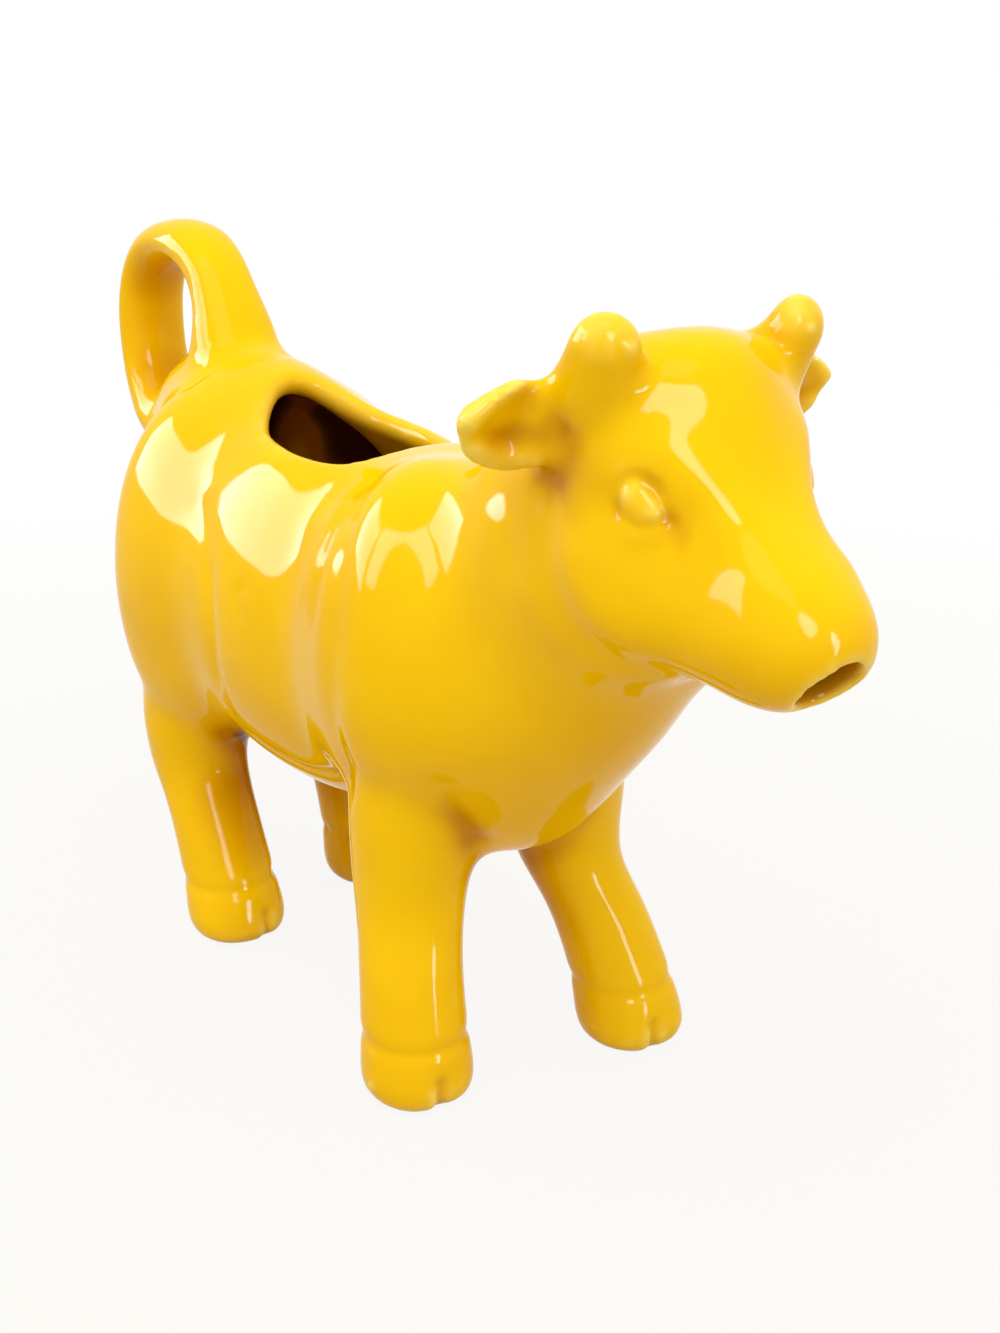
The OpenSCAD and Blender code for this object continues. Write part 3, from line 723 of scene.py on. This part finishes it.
def glazeMaterial():
    material = bpy.data.materials.new("yellow_glaze")
    material.use_nodes = True
    tree = material.node_tree
    shader = tree.nodes["Principled BSDF"]
    start = Link(tree, None)
    where = start.node("ShaderNodeTexCoord", out="Object")

    def noise(scale, detail):
        return start.node("ShaderNodeTexNoise", inputs={"Vector": where, "Scale": scale, "Detail": detail})

    def fromSkin(name):
        return start.node("ShaderNodeAttribute", {"attribute_name": name}, out="Fac")

    clouds, mostCloud = glaze["clouds"]
    colour = noise(clouds, 3.0).ramp(0.35, 0.7, end=mostCloud).mixed(glaze["yellow"], glaze["deep"])
    pool_and_shade = fromSkin("pool_and_shade")
    # deep amber where the glaze pools, and painted shade where the cow hides a spot from the light
    colour = pool_and_shade.ramp(*glaze["deepFrom"]).mixed(colour, glaze["deep"])
    # near-black painted shade in the most sheltered places
    colour = pool_and_shade.ramp(*glaze["darkestShadeFrom"]).mixed(colour, glaze["darkest_shade"])
    # pale thin glaze on edges, partly painted sheen
    colour = (fromSkin("thin") * glaze["thinAndSheenShare"]).mixed(colour, glaze["thin"])
    tree.links.new(colour.socket, shader.inputs["Base Color"])
    rough = noise(glaze["specks"], 2.0).ramp(0.4, 0.8, *glaze["roughness"])
    tree.links.new(rough.socket, shader.inputs["Roughness"])
    shader.inputs["IOR"].default_value = 1.5
    shader.inputs["Specular IOR Level"].default_value = glaze["mirroring"]
    waves, strength = glaze["waves"]
    bump = start.node("ShaderNodeBump", inputs={
        "Strength": strength, "Distance": 0.001, "Height": noise(waves, 1.0)})
    tree.links.new(bump.socket, shader.inputs["Normal"])
    return material


yellowGlaze = glazeMaterial()
for node, piece in pieces.items():
    piece.data.materials.clear()
    piece.data.materials.append(yellowGlaze)
    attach(piece, "root")
    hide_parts(node)


# Table, lights and camera

studio = {
    "floorSize": 3.0,
    "floorColour": (0.50, 0.43, 0.14, 1),
    "shadow": dict(near=0.1, far=0.35, share=0.1),  # how far off in metres it fades, and how much of it is seen
    "ambient": 1.04,
}
panels = {  # direction in degrees round and up, distance and size in metres, and watts
    "overhead": dict(turn=-45, rise=66, away=0.75, size=(0.6, 0.5), watts=2.3, shape="ELLIPSE"),
}
glints = {  # panels that only the glaze mirrors, a little blue because the glaze turns them yellow
    "window": dict(turn=-136, rise=26, away=0.7, size=(0.50, 0.40), watts=15.0, shape="RECTANGLE"),
    "second pane": dict(turn=-101, rise=30, away=0.7, size=(0.18, 0.34), watts=4.5, shape="RECTANGLE"),
    "front": dict(turn=-14, rise=35, away=0.7, size=(0.22, 0.30), watts=4.5, shape="ELLIPSE"),
    "leg strip": dict(turn=14, rise=10, away=0.7, size=(0.10, 0.34), watts=3.4, shape="ELLIPSE"),
}


def lightPanel(name, turn, rise, away, size, watts, shape):
    lamp = bpy.data.lights.new(name, "AREA")
    lamp.shape = shape
    lamp.size, lamp.size_y = size
    lamp.energy = watts
    obj = bpy.data.objects.new(name, lamp)
    turn, rise = math.radians(turn), math.radians(rise)
    way = Vector((math.cos(turn) * math.cos(rise), math.sin(turn) * math.cos(rise), math.sin(rise)))
    obj.location = Vector((0, 0, 0.06)) + way * away
    obj.rotation_euler = (-way).to_track_quat("-Z", "Y").to_euler()
    bpy.context.scene.collection.objects.link(obj)
    return obj


def seenRays(tree):
    # 1 where the camera sees a thing, also in a mirror or through glass
    ray = tree.nodes.new("ShaderNodeLightPath")
    kinds = [Link(tree, ray.outputs["Is " + kind + " Ray"]) for kind in ("Camera", "Glossy", "Transmission")]
    return kinds[0].maths("MAXIMUM", kinds[0].maths("MAXIMUM", kinds[0], kinds[1]), kinds[2])


def whiteWorld():
    world = bpy.data.worlds.new("studio")
    bpy.context.scene.world = world
    world.use_nodes = True
    tree = world.node_tree
    tree.nodes.clear()
    start = Link(tree, None)
    seen = seenRays(tree)
    dim = start.node("ShaderNodeBackground", inputs={"Color": (1, 1, 1, 1), "Strength": studio["ambient"]})
    white = start.node("ShaderNodeBackground", inputs={"Color": (1, 1, 1, 1), "Strength": 1.0})
    both = start.node("ShaderNodeMixShader", inputs={0: seen, 1: dim, 2: white})
    end = tree.nodes.new("ShaderNodeOutputWorld")
    tree.links.new(both.socket, end.inputs["Surface"])


def whiteTable():
    bpy.ops.object.select_all(action="DESELECT")
    bpy.ops.mesh.primitive_plane_add(size=studio["floorSize"], location=(0, 0, 0))
    table = bpy.context.object
    table.name = "table"
    material = bpy.data.materials.new("white_table")
    material.use_nodes = True
    tree = material.node_tree
    tree.nodes.clear()
    start = Link(tree, None)
    seen = seenRays(tree)
    where = start.node("ShaderNodeTexCoord", out="Object")
    far = start.node("ShaderNodeVectorMath", {"operation": "LENGTH"}, {0: where}, out="Value")
    shadow = studio["shadow"]
    fade = far.ramp(shadow["near"], shadow["far"], start=1 - shadow["share"])
    matt = start.node("ShaderNodeBsdfDiffuse", inputs={"Color": studio["floorColour"]})
    glow = start.node("ShaderNodeEmission", inputs={"Color": (1, 1, 1, 1), "Strength": 1.0})
    both = start.node("ShaderNodeMixShader", inputs={0: seen * fade, 1: matt, 2: glow})
    end = tree.nodes.new("ShaderNodeOutputMaterial")
    tree.links.new(both.socket, end.inputs["Surface"])
    table.data.materials.append(material)


view = {  # fitted to the photo
    "place": (210.32 * mm, -137.78 * mm, 140.88 * mm),
    "target": (10.959 * mm, 9.379 * mm, 55.589 * mm),
    "roll": math.radians(0.389),
    "lens": 45.9,
}


def photoCamera():
    camera = bpy.data.cameras.new("camera")
    camera.lens = view["lens"]
    camera.sensor_width = 36
    camera.clip_start = 0.01
    obj = bpy.data.objects.new("camera", camera)
    obj.location = view["place"]
    look = (Vector(view["target"]) - Vector(view["place"])).to_track_quat("-Z", "Y")
    obj.rotation_euler = look.to_euler()
    obj.rotation_euler.rotate_axis("Z", view["roll"])
    bpy.context.scene.collection.objects.link(obj)
    bpy.context.scene.camera = obj


whiteWorld()
whiteTable()
for name, panel in panels.items():
    lightPanel(name, **panel)
for name, panel in glints.items():
    glint = lightPanel(name, **panel)
    glint.visible_diffuse = False
    glint.data.color = (0.8, 0.9, 1.0)
photoCamera()
bpy.context.scene.view_settings.view_transform = "Standard"
print("studio ready")
